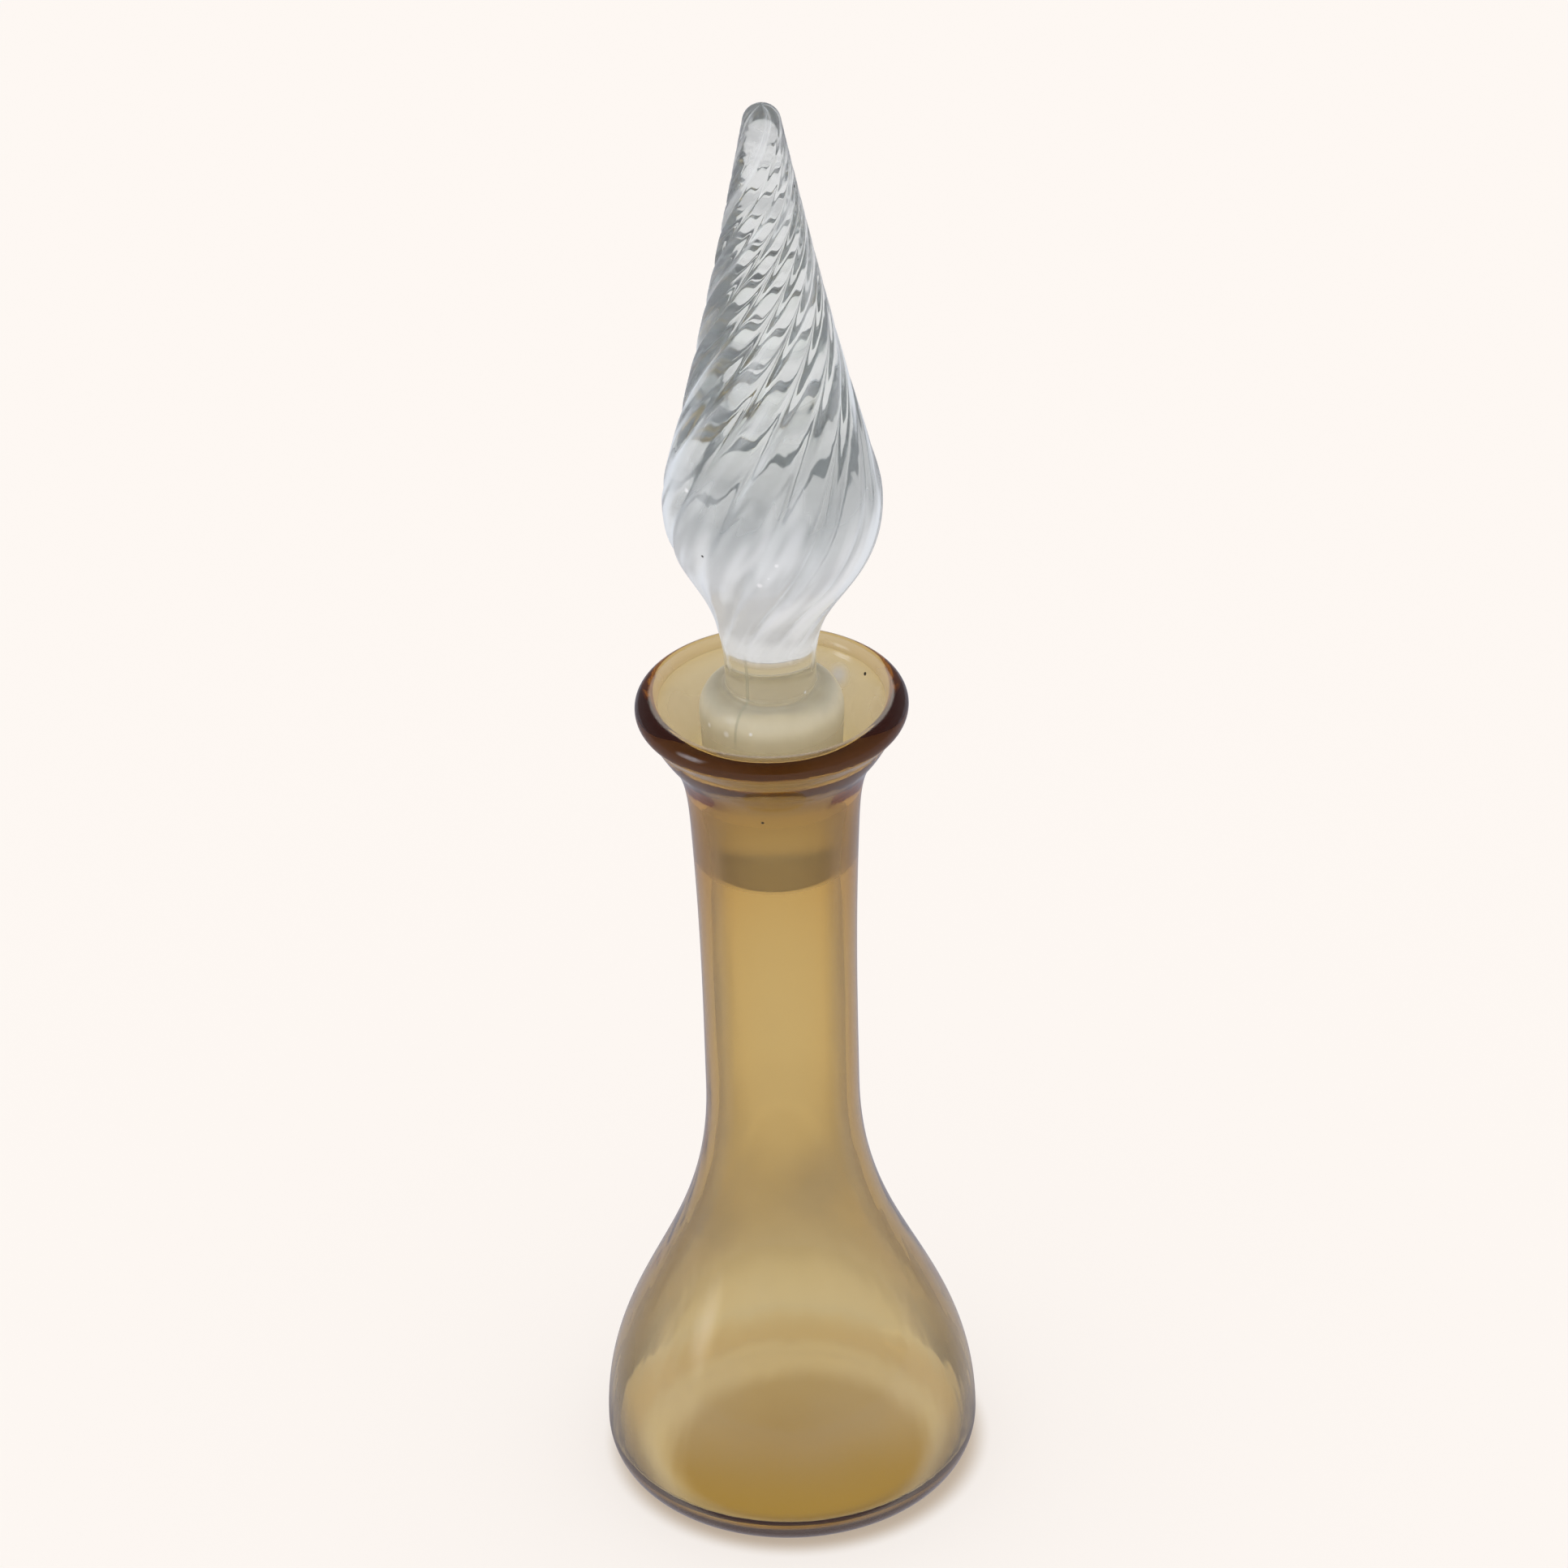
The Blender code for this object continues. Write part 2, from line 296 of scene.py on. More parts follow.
class StopperSizes(bpy.types.PropertyGroup):
    """Sizes of the clear stopper"""

    seat: length("Seat", "Height of the plug's lower face", STOPPER_BOX[0][2])
    tip: length("Tip", "Height of the flame's tip", STOPPER_BOX[1][2])
    flame: length("Flame radius", "Radius of the flame's widest ring", STOPPER_BOX[1][0])
    plug: length("Plug length", "From the plug's lower face up to its shoulder", 39.5 * MM)
    plug_foot: length("Plug foot radius", "Radius at the plug's lower face", 14.2 * MM)
    taper: amount("Taper", "Change of the plug's radius for each length", HALF_TAPER)
    edge: length("Plug edge", "Rounding round the plug's lower face", 1.5 * MM)
    dome: length("Dome", "Height of the rounded shoulder under the stem", 6.6 * MM)
    stem: length("Stem radius", "Radius of the stem", 10.2 * MM)
    stem_fillet: length("Stem fillet", "Rounding between dome and stem", 1.2 * MM)
    flame_foot: length("Flame foot", "Height at which the stem opens into the flame", 215.0 * MM)
    flame_belly: length("Flame belly", "Height of the widest ring above the flame's foot", 43.5 * MM)
    tip_round: length("Tip rounding", "Radius of the rounded tip", 4.2 * MM)
    tip_angle: angle("Tip angle", "The flame's side at its round tip, off upright", 10.9)
    ribs: bpy.props.IntProperty(name="Ribs", description="Number of swirled ribs", default=12, min=3)
    rib_depth: length("Rib depth", "Depth of the grooves between the ribs", 1.7 * MM)
    groove_power: amount("Groove power", "How narrow the grooves are against the ribs", 4.5)
    rib_lean: angle("Rib lean", "Lean of the grooves at the flame's belly", 26.0)
    tip_lean: angle("Tip lean", "Lean of the grooves near the tip", 34.0)
    rib_turn: angle("Rib turn", "Turn of the ribs about the axis", -2.0)
    off_centre: length("Off centre", "How far the hand-set flame stands to one side", 1.5 * MM)


class GlassFinish(bpy.types.PropertyGroup):
    """Colours of the two glasses"""

    amber: colour("Amber", "Colour that the amber glass lets through", (0.817, 0.611, 0.067))
    amber_density: amount("Amber density", "How strongly the amber glass colours, for each metre", 278.0)
    # A pale haze, and on the belly also a painted sheen
    haze_and_sheen: colour("Bloom", "Pale haze on the bottle", (0.60, 0.59, 0.55))
    bloom_neck: amount("Bloom on the neck", "How much of the haze shows on the neck", 0.015)
    belly_haze_and_sheen: amount("Bloom on the belly", "How much of the haze shows on the belly", 0.12)
    bloom_low: length("Bloom low", "Height at which the haze on the belly begins", 0.010)
    mouth_haze: colour("Haze in the mouth", "Pale haze inside the flare", (0.68, 0.61, 0.53))
    bloom_mouth: amount("Bloom in the mouth", "How much of the haze shows inside the flare", 0.34)
    # Painted brown shade where the wall turns away from the eye; the painted shade patches on the
    # shoulder take this colour too
    painted_brown_shade: colour("Smoke", "Brown shade where the wall turns away", (0.20, 0.17, 0.145))
    brown_shade_amount: amount("Smoke amount", "How much of the brown shade shows", 0.23)
    brown_shade_start: amount("Smoke start", "Where the shade begins: 0 faces the eye, 1 is the edge", 0.33)
    # Painted darker shade round the heel, where the wall turns away
    painted_heel_shade: colour("Low smoke", "Darker shade round the heel", (0.13, 0.105, 0.095))
    heel_shade_amount: amount("Low smoke amount", "How much darker the shade is round the heel", 0.36)
    # A violet lustre, painted as a sheen and shade that show only where the wall turns away from the eye
    film: colour(
        "Film", "Silvery violet film on the bottle, seen at its very edges", (0.38, 0.355, 0.375))
    edge_sheen_amount: amount("Film edge", "How much of the film shows at the very edge", 0.48)
    film_top: length("Film top", "Height at which the film ends under the flare", 182.0 * MM)
    # Painted brown glow: the amber glass gives off light of this colour inside, though it is no lamp
    depth: colour(
        "Depth", "Brown that thick amber glass keeps where it lets no light through", (1.0, 0.46, 0.36))
    painted_glow_strength: amount(
        "Depth strength", "How strongly the thick amber glass glows brown, for each metre", 1.3)
    clear: colour("Clear", "Faint colour that the clear glass lets through", (0.70, 0.76, 0.69))
    clear_density: amount("Clear density", "How strongly the clear glass colours, for each metre", 5.0)
    waves: length("Waves", "Height of the soft waves in both glasses", 0.25 * MM)
    # Painted shade patches on the shoulder
    shoulder_shade_amount: amount("Patch amount", "How much of the brown patches shows on the shoulder", 0.09)
    speck: colour("Specks", "Dark specks in the glass", (0.02, 0.02, 0.02))
    # Painted highlights and reflections on both glasses
    painted_highlight: colour("Glints", "Bright flecks in the glass", (0.95, 0.96, 1.0))
    seam: colour("Seam", "Mould seam down the stem", (0.30, 0.31, 0.23))
    dull: colour("Dull film", "Dull film on the plug and the stem", (0.92, 0.86, 0.68))
    dull_amount: amount("Dull film amount", "How much of the dull film shows on the plug", 0.66)
    # A milky film on the flame; its streaks along the ribs are partly painted highlights
    milk: colour("Milk", "Milky streaks along the ribs of the flame", (0.84, 0.87, 0.91))
    milk_amount: amount("Milk amount", "How milky the flame is all over", 0.06)
    milk_foot: amount("Milk foot", "How much milkier the foot of the flame is", 0.58)
    milky_highlight_streaks: amount("Milk streaks", "How much milkier the streaks are", 0.34)
    # Painted bluish highlights where the flame turns away
    rim: colour("Rim", "Bluish streaks where the flame turns away", (0.86, 0.93, 1.0))
    rim_highlight_amount: amount("Rim amount", "How much of the bluish streaks shows", 0.85)
    ground: amount("Ground roughness", "Roughness of the plug's ground taper", 0.28)


class StageSettings(bpy.types.PropertyGroup):
    """Camera, floor and light"""

    lens: bpy.props.FloatProperty(name="Lens", description="Focal length in millimetres", default=160.0)
    distance: length("Distance", "From the camera to the point it looks at", 1.5601)
    elevation: angle("Elevation", "How far the camera looks down", 32.69)
    roll: angle("Roll", "How far the camera is turned about its line of sight", 1.64)
    target: length("Target height", "Height of the point that the camera looks at", 0.18424)
    side: length("Side", "How far the camera stands to the right", 2.25 * MM)
    floor: colour("Floor", "Colour of the pale floor", (0.985, 0.932, 0.890))
    even: amount("Even", "Share of the floor's light that no object shades", 0.70)
    touch: length("Touch", "Radius at which the contact shadow is darkest", 0.040)
    touch_floor: colour(
        "Contact shadow", "Colour of the floor where the bottle touches it", (0.62, 0.52, 0.42))
    # Painted amber light and shade on the floor under the base, which only glass shows
    under: length("Under", "Radius of the floor that gets its light through the amber base", 0.0315)
    under_shift: length("Under shift", "How far that part of the floor lies to the front", 0.0075)
    under_aside: length("Under aside", "How far that part of the floor lies to the right", 0.002)
    painted_amber_pool: colour(
        "Floor under the base", "Colour of the floor under the amber base", (0.44, 0.335, 0.030))
    near: length("Paper", "Radius of the white paper that lies under the bottle", 0.26)
    near_floor: colour(
        "Paper through glass", "Colour of the near floor where glass shows it", (0.82, 0.835, 0.82))
    seen_floor: colour(
        "Floor through glass", "Colour of the far floor where glass shows it", (0.80, 0.80, 0.80))
    light: amount("Light", "Strength of the soft light all round", 1.0)
    room_low: colour("Low room", "Low part of the room where glass shows it", (0.30, 0.30, 0.26))
    room_high: colour("High room", "High part of the room where glass shows it", (0.74, 0.77, 0.82))
    room_front: colour("Front room", "Front of the room where glass shows it", (0.30, 0.30, 0.27))
    mirror_floor: colour(
        "Mirrored floor", "Colour of the floor where glass mirrors it", (0.40, 0.40, 0.46))
    mirror_low: colour(
        "Mirrored walls", "Walls of the room where glass mirrors them", (0.22, 0.21, 0.23))
    mirror_high: colour(
        "Mirrored ceiling", "Ceiling of the room where glass mirrors it", (0.14, 0.13, 0.15))
    mirror_gap: colour(
        "Mirrored gap", "Dark gap round the camera where glass mirrors it", (0.06, 0.05, 0.05))
    window: bpy.props.FloatVectorProperty(
        name="Window", description="Light of the soft window on the left", default=(4.0, 4.2, 4.6),
        size=3, min=0.0, subtype="COLOR")


class Wire:
    """A socket of a node tree that takes part in Python expressions."""

    def __init__(self, nodes, socket):
        self.nodes, self.socket = nodes, socket

    def math(self, operation, *others):
        """A Math node on this socket and others."""
        values = dict(enumerate((self,) + others))
        return self.nodes.wire("ShaderNodeMath", 0, {"operation": operation}, values)

    def __add__(self, other):
        return self.math("ADD", other)

    __radd__ = __add__

    def __sub__(self, other):
        return self.math("SUBTRACT", other)

    def __rsub__(self, other):
        return (self * -1.0).math("ADD", other)

    def __mul__(self, other):
        return self.math("MULTIPLY", other)

    __rmul__ = __mul__

    def __truediv__(self, other):
        return self.math("DIVIDE", other)

    def rise(self, low, high):
        """0 below low, 1 above high, with a smooth step."""
        return self.nodes.wire(
            "ShaderNodeMapRange", "Result", {"interpolation_type": "SMOOTHSTEP"},
            {"Value": self, "From Min": low, "From Max": high, "To Min": 0.0, "To Max": 1.0})

    def fall(self, low, high):
        """1 below low, 0 above high, with a smooth step."""
        return 1.0 - self.rise(low, high)

    def scaled(self, gain, least):
        """This value times a gain, on top of a least value."""
        return self * gain + least

    def across(self, other):
        """Length of the diagonal over this part and another one."""
        return (self * self + other * other).math("SQRT")


class Nodes:
    """The nodes of one material or world."""

    def __init__(self, tree):
        self.tree = tree
        tree.nodes.clear()

    def add(self, kind, settings=(), values=()):
        """Adds a node with its settings and its sockets' values or links."""
        node = self.tree.nodes.new(kind)
        for name, setting in dict(settings).items():
            setattr(node, name, setting)
        for name, value in dict(values).items():
            socket = node.inputs[name]
            if isinstance(value, Wire):
                self.tree.links.new(value.socket, socket)
            elif socket.type == "RGBA":
                socket.default_value = tuple(value) + (1.0,)
            else:
                socket.default_value = value
        return node

    def wire(self, kind, output=0, settings=(), values=()):
        """One output of a new node."""
        return Wire(self, self.add(kind, settings, values).outputs[output])

    def blend(self, factor, first, second):
        """A colour between first and second."""
        return self.wire("ShaderNodeMix", 2, {"data_type": "RGBA"}, {0: factor, 6: first, 7: second})

    def place(self):
        """Object coordinates."""
        return self.wire("ShaderNodeTexCoord", "Object")

    def parts(self, vector):
        """The three parts of a vector."""
        node = self.add("ShaderNodeSeparateXYZ", (), {0: vector})
        return [Wire(self, output) for output in node.outputs]

    def dot(self, first, second):
        """The dot product of two vectors."""
        return self.wire(
            "ShaderNodeVectorMath", "Value", {"operation": "DOT_PRODUCT"}, {0: first, 1: second})

    def spots(self, place, balls, soft=0.6):
        """1 inside small balls, given as (x, y, z, radius) in millimetres, 0 outside them."""
        found = 0.0
        for x, y, z, radius in balls:
            gap = self.wire("ShaderNodeVectorMath", "Value", {"operation": "DISTANCE"},
                            {0: place, 1: (x * MM, y * MM, z * MM)})
            found = gap.fall(radius * soft * MM, radius * MM) + found
        return found

    def cloud(self, vector, scale, detail=2.0, stretch=(1.0, 1.0, 1.0)):
        """A noise between 0 and 1."""
        moved = self.wire("ShaderNodeMapping", 0, (), {"Vector": vector, "Scale": stretch})
        return self.wire(
            "ShaderNodeTexNoise", 0, (), {"Vector": moved, "Scale": scale, "Detail": detail})

    def facing(self):
        """0 where the surface faces the eye, 1 at its very edge."""
        return self.wire("ShaderNodeLayerWeight", "Facing", (), {"Blend": 0.5})

    def ray(self, kind):
        """1 for rays of a kind."""
        return self.wire("ShaderNodeLightPath", "Is %s Ray" % kind)

    def mirrored(self):
        """1 for mirrored rays. Rays that went through glass count as glossy too and are taken off."""
        return self.ray("Glossy") * (1.0 - self.ray("Transmission"))

    def glow(self, tint, strength=1.0):
        """A surface or volume that gives off light."""
        return self.wire("ShaderNodeEmission", 0, (), {"Color": tint, "Strength": strength})

    def over(self, surface, share, top):
        """A surface with a share of another one over it."""
        return self.wire("ShaderNodeMixShader", 0, (), {0: share, 1: surface, 2: top})

    def film(self, surface, share, tint, roughness=0.5):
        """A surface with a share of a plain film of one colour over it."""
        return self.over(surface, share, self.wire(
            "ShaderNodeBsdfPrincipled", 0, (), {"Base Color": tint, "Roughness": roughness}))

    def glass(self, roughness, waves, depth):
        """The surface of glass with soft waves of a depth."""
        wavy = self.wire("ShaderNodeBump", 0, (), {"Strength": 1.0, "Distance": depth, "Height": waves})
        return self.wire("ShaderNodeBsdfPrincipled", 0, (), {
            "Base Color": (1.0, 1.0, 1.0), "Roughness": roughness, "IOR": REFRACTION,
            "Transmission Weight": 1.0, "Normal": wavy})

    def stain(self, tint, density):
        """The inside of glass that lets a colour through."""
        return self.wire("ShaderNodeVolumeAbsorption", 0, (), {"Color": tint, "Density": density})


def past(start, fade):
    """The two ends of a fade, which is given as lengths past a start."""
    return start + fade[0], start + fade[1]


def new_material(name):
    """An empty node material."""
    material = bpy.data.materials.new(name)
    material.use_nodes = True
    return material, Nodes(material.node_tree)


def select_none():
    """Deselects every object, in object mode."""
    if bpy.context.object is not None and bpy.context.object.mode != "OBJECT":
        bpy.ops.object.mode_set(mode="OBJECT")
    bpy.ops.object.select_all(action="DESELECT")


def work_on(piece):
    """Makes a piece the only selected and the active one."""
    select_none()
    piece.select_set(True)
    bpy.context.view_layer.objects.active = piece


def leaning(pull, off_upright):
    """A pull of this length that leans outwards off upright."""
    return (pull * math.sin(off_upright), pull * math.cos(off_upright))


def against(pull):
    """The same pull, the other way."""
    return (-pull[0], -pull[1])


def round_run(centre, radii, start, end, steps):
    """A quarter turn or less of a rounding, as a curve run. Angles in degrees."""
    a, b = math.radians(start), math.radians(end)
    hold = 4 / 3 * math.tan((b - a) / 4)
    first = (centre[0] + radii[0] * math.cos(a), centre[1] + radii[1] * math.sin(a))
    last = (centre[0] + radii[0] * math.cos(b), centre[1] + radii[1] * math.sin(b))
    leave = (-hold * radii[0] * math.sin(a), hold * radii[1] * math.cos(a))
    reach = (hold * radii[0] * math.sin(b), -hold * radii[1] * math.cos(b))
    return (first, leave, reach, last, steps)


def line_run(first, last, steps):
    """A straight run."""
    pull = ((last[0] - first[0]) / 3, (last[1] - first[1]) / 3)
    return (first, pull, against(pull), last, steps)


def turned(name, runs, segments):
    """A closed body turned about the Z axis from curve runs in the XZ plane.

    Each run is its start, the pull that leaves it, the pull that reaches its end, the end and the steps.
    """
    select_none()
    bpy.ops.curve.primitive_bezier_curve_add(enter_editmode=True, location=(0, 0, 0))
    outline = bpy.context.object
    for index, (start, leave, reach, end, steps) in enumerate(runs):
        if index:
            bpy.ops.curve.primitive_bezier_curve_add(location=(0, 0, 0))
        spline = outline.data.splines[-1]
        spline.resolution_u = steps
        for knot, here, left, right in (
                (spline.bezier_points[0], start, against(leave), leave),
                (spline.bezier_points[1], end, reach, against(reach))):
            knot.handle_left_type = knot.handle_right_type = "FREE"
            knot.co = (here[0], 0, here[1])
            knot.handle_left = (here[0] + left[0], 0, here[1] + left[1])
            knot.handle_right = (here[0] + right[0], 0, here[1] + right[1])
    bpy.ops.object.mode_set(mode="OBJECT")
    bpy.ops.object.convert(target="MESH")
    piece = bpy.context.object
    piece.name = piece.data.name = name
    bpy.ops.object.mode_set(mode="EDIT")
    bpy.ops.mesh.select_all(action="SELECT")
    bpy.ops.mesh.remove_doubles(threshold=OUTLINE_JOIN)
    bpy.ops.mesh.spin(steps=segments, angle=math.tau, center=(0, 0, 0), axis=(0, 0, 1))
    bpy.ops.mesh.select_all(action="SELECT")
    bpy.ops.mesh.remove_doubles(threshold=SEAM_JOIN)
    bpy.ops.mesh.normals_make_consistent(inside=False)
    bpy.ops.object.mode_set(mode="OBJECT")
    bpy.ops.object.shade_smooth()
    return piece


def bottle_runs(s):
    """Runs of the bottle's section: up the inside, over the lip and down the outside."""
    outer = (s.lip - s.lip_outer, s.height - s.lip_outer)
    inner = (outer[0] - s.lip_flat, s.height - s.lip_inner)
    belly_in = s.belly - s.wall
    corner_top = s.base + s.floor_lift
    seat = STOPPER_BOX[0][2]
    joint_top = (s.bore + s.joint * HALF_TAPER, seat + s.joint)
    mouth = (inner[0] - s.lip_inner * math.cos(s.mouth_angle),
             inner[1] + s.lip_inner * math.sin(s.mouth_angle))
    rim = (outer[0] + s.lip_outer * math.cos(s.flare_angle),
           outer[1] - s.lip_outer * math.sin(s.flare_angle))
    throat = (s.throat, s.height - s.flare)
    funnel = (s.funnel_radius, s.height - s.funnel)
    cup = (s.cup_radius, s.height - s.cup)
    over, under, slope = [
        (s.lip - inwards * MM, s.height - down * MM) for inwards, down in SOFT_RING]
    foot = s.belly - s.heel
    ring = foot - s.foot_ring
    sloping = leaning(FUNNEL_PULL, s.funnel_angle)
    return [
        ((0, s.base + s.floor_rise), (belly_in / 3, 0), (-belly_in / 3, 0),
         (belly_in - s.floor_corner, s.base), 14),
        round_run((belly_in - s.floor_corner, corner_top), (s.floor_corner, s.floor_lift), -90, 0, 14),
        ((belly_in, corner_top), (0, s.belly_height + BELLY_PULL - 2 * s.wall - corner_top),
         (0, -SHOULDER_PULL), (s.bore, s.neck_height), 44),
        line_run((s.bore, s.neck_height), (s.bore, seat), 12),
        line_run((s.bore, seat), joint_top, 8),
        (joint_top, leaning(JOINT_PULL, math.atan(HALF_TAPER)), against(sloping), funnel, 24),
        (funnel, sloping, against(sloping), cup, 10),
        (cup, leaning(CUP_PULL, s.funnel_angle), against(leaning(MOUTH_PULL, s.mouth_angle)), mouth, 14),
        round_run(inner, (s.lip_inner,) * 2, 180 - math.degrees(s.mouth_angle), 90, 14),
        line_run((inner[0], s.height), (outer[0], s.height), 2),
        round_run(outer, (s.lip_outer,) * 2, 90, -math.degrees(s.flare_angle), 18),
        (rim, against(leaning(LIP_PULL, s.flare_angle)), leaning(LIP_PULL, s.ring_angle), over, 12),
        (over, against(leaning(RING_PULL, s.ring_angle)), leaning(RING_PULL, s.shelf_angle), under, 10),
        (under, against(leaning(SHELF_PULL, s.shelf_angle)),
         leaning(SHELF_PULL, s.slope_angle), slope, 12),
        (slope, against(leaning(SLOPE_PULL, s.slope_angle)),
         leaning(FLARE_PULL, s.throat_angle), throat, 24),
        (throat, against(leaning(THROAT_PULL, s.throat_angle)),
         (0, NECK_PULL), (s.neck, s.neck_height), 18),
        ((s.neck, s.neck_height), (0, -SHOULDER_PULL), (0, BELLY_PULL), (s.belly, s.belly_height), 50),
        round_run((foot, s.belly_height), (s.heel, s.belly_height), 0, -90, 16),
        line_run((foot, 0), (ring, 0), 4),
        ((ring, 0), (-ring / 3, s.kick / 2), (ring / 2, 0), (0, s.kick), 12),
    ]


def stopper_runs(s):
    """Runs of the stopper's section, from the tip down to the plug's lower face."""
    shoulder_z = s.seat + s.plug
    shoulder = s.plug_foot + s.plug * s.taper
    dome_top = shoulder_z + s.dome
    tip_z = s.tip - s.tip_round
    tip_end = (s.tip_round * math.cos(s.tip_angle), tip_z + s.tip_round * math.sin(s.tip_angle))
    widest = (s.flame, s.flame_foot + s.flame_belly)
    side = (-TIP_PULL * math.sin(s.tip_angle), TIP_PULL * math.cos(s.tip_angle))
    edge = (s.plug_foot + s.edge * s.taper - s.edge, s.seat + s.edge)
    return [
        round_run((0, tip_z), (s.tip_round,) * 2, 90, math.degrees(s.tip_angle), 10),
        (tip_end, against(side), (0, FLAME_SHOULDER), widest, 84),
        (widest, (0, -FLAME_HIP), (0, FLAME_CALF), (s.stem, s.flame_foot), 40),
        line_run((s.stem, s.flame_foot), (s.stem, dome_top + s.stem_fillet), 3),
        round_run((s.stem + s.stem_fillet, dome_top + s.stem_fillet), (s.stem_fillet,) * 2, 180, 270, 6),
        round_run((s.stem + s.stem_fillet, shoulder_z),
                  (shoulder - s.stem - s.stem_fillet, s.dome), 90, 0, 16),
        line_run((shoulder, shoulder_z), (edge[0] + s.edge, edge[1]), 16),
        round_run(edge, (s.edge, s.edge), 0, -90, 8),
        line_run((edge[0], s.seat), (0, s.seat), 6),
    ]


def ease(value):
    """Smooth step from 0 to 1."""
    value = min(max(value, 0.0), 1.0)
    return value * value * (3 - 2 * value)


def weigh(piece, name, weight):
    """A vertex group whose weights come from a function of the vertex's place."""
    group = piece.vertex_groups.new(name=name)
    for vertex in piece.data.vertices:
        value = weight(vertex.co)
        if value > LEAST_WEIGHT:
            group.add([vertex.index], min(value, 1.0), "REPLACE")
    return group


def push(piece, group, depth):
    """Moves the surface out by depth where the group weighs, with an applied Displace modifier."""
    work_on(piece)
    modifier = piece.modifiers.new(group.name, "DISPLACE")
    modifier.vertex_group = group.name
    modifier.mid_level = 0.0
    modifier.strength = depth
    bpy.ops.object.modifier_apply(modifier=modifier.name)


def rings_above(piece, height):
    """Rings of vertices above a height: (height, radius, vertex numbers), from the lowest up."""
    rings = []
    for vertex in sorted(piece.data.vertices, key=lambda v: v.co.z):
        if vertex.co.z > height:
            if not rings or vertex.co.z - rings[-1][0] > SEAM_JOIN:
                rings.append((vertex.co.z, math.hypot(vertex.co.x, vertex.co.y), []))
            rings[-1][2].append(vertex.index)
    return rings


def turn_rings(piece, rings, turns, shifts):
    """Turns each ring about the Z axis and moves it sideways, as by hand."""
    work_on(piece)
    bpy.ops.object.mode_set(mode="EDIT")
    bpy.context.tool_settings.mesh_select_mode = (True, False, False)
    bpy.ops.mesh.select_all(action="DESELECT")
    mesh = bmesh.from_edit_mesh(piece.data)
    mesh.verts.ensure_lookup_table()
    for (height, _, numbers), turn, shift in zip(rings, turns, shifts):
        for number in numbers:
            mesh.verts[number].select = True
        bpy.ops.transform.rotate(value=-turn, orient_axis="Z", orient_type="GLOBAL",
                                 center_override=(0.0, 0.0, height))
        bpy.ops.transform.translate(value=shift)
        for number in numbers:
            mesh.verts[number].select = False
    bpy.ops.object.mode_set(mode="OBJECT")


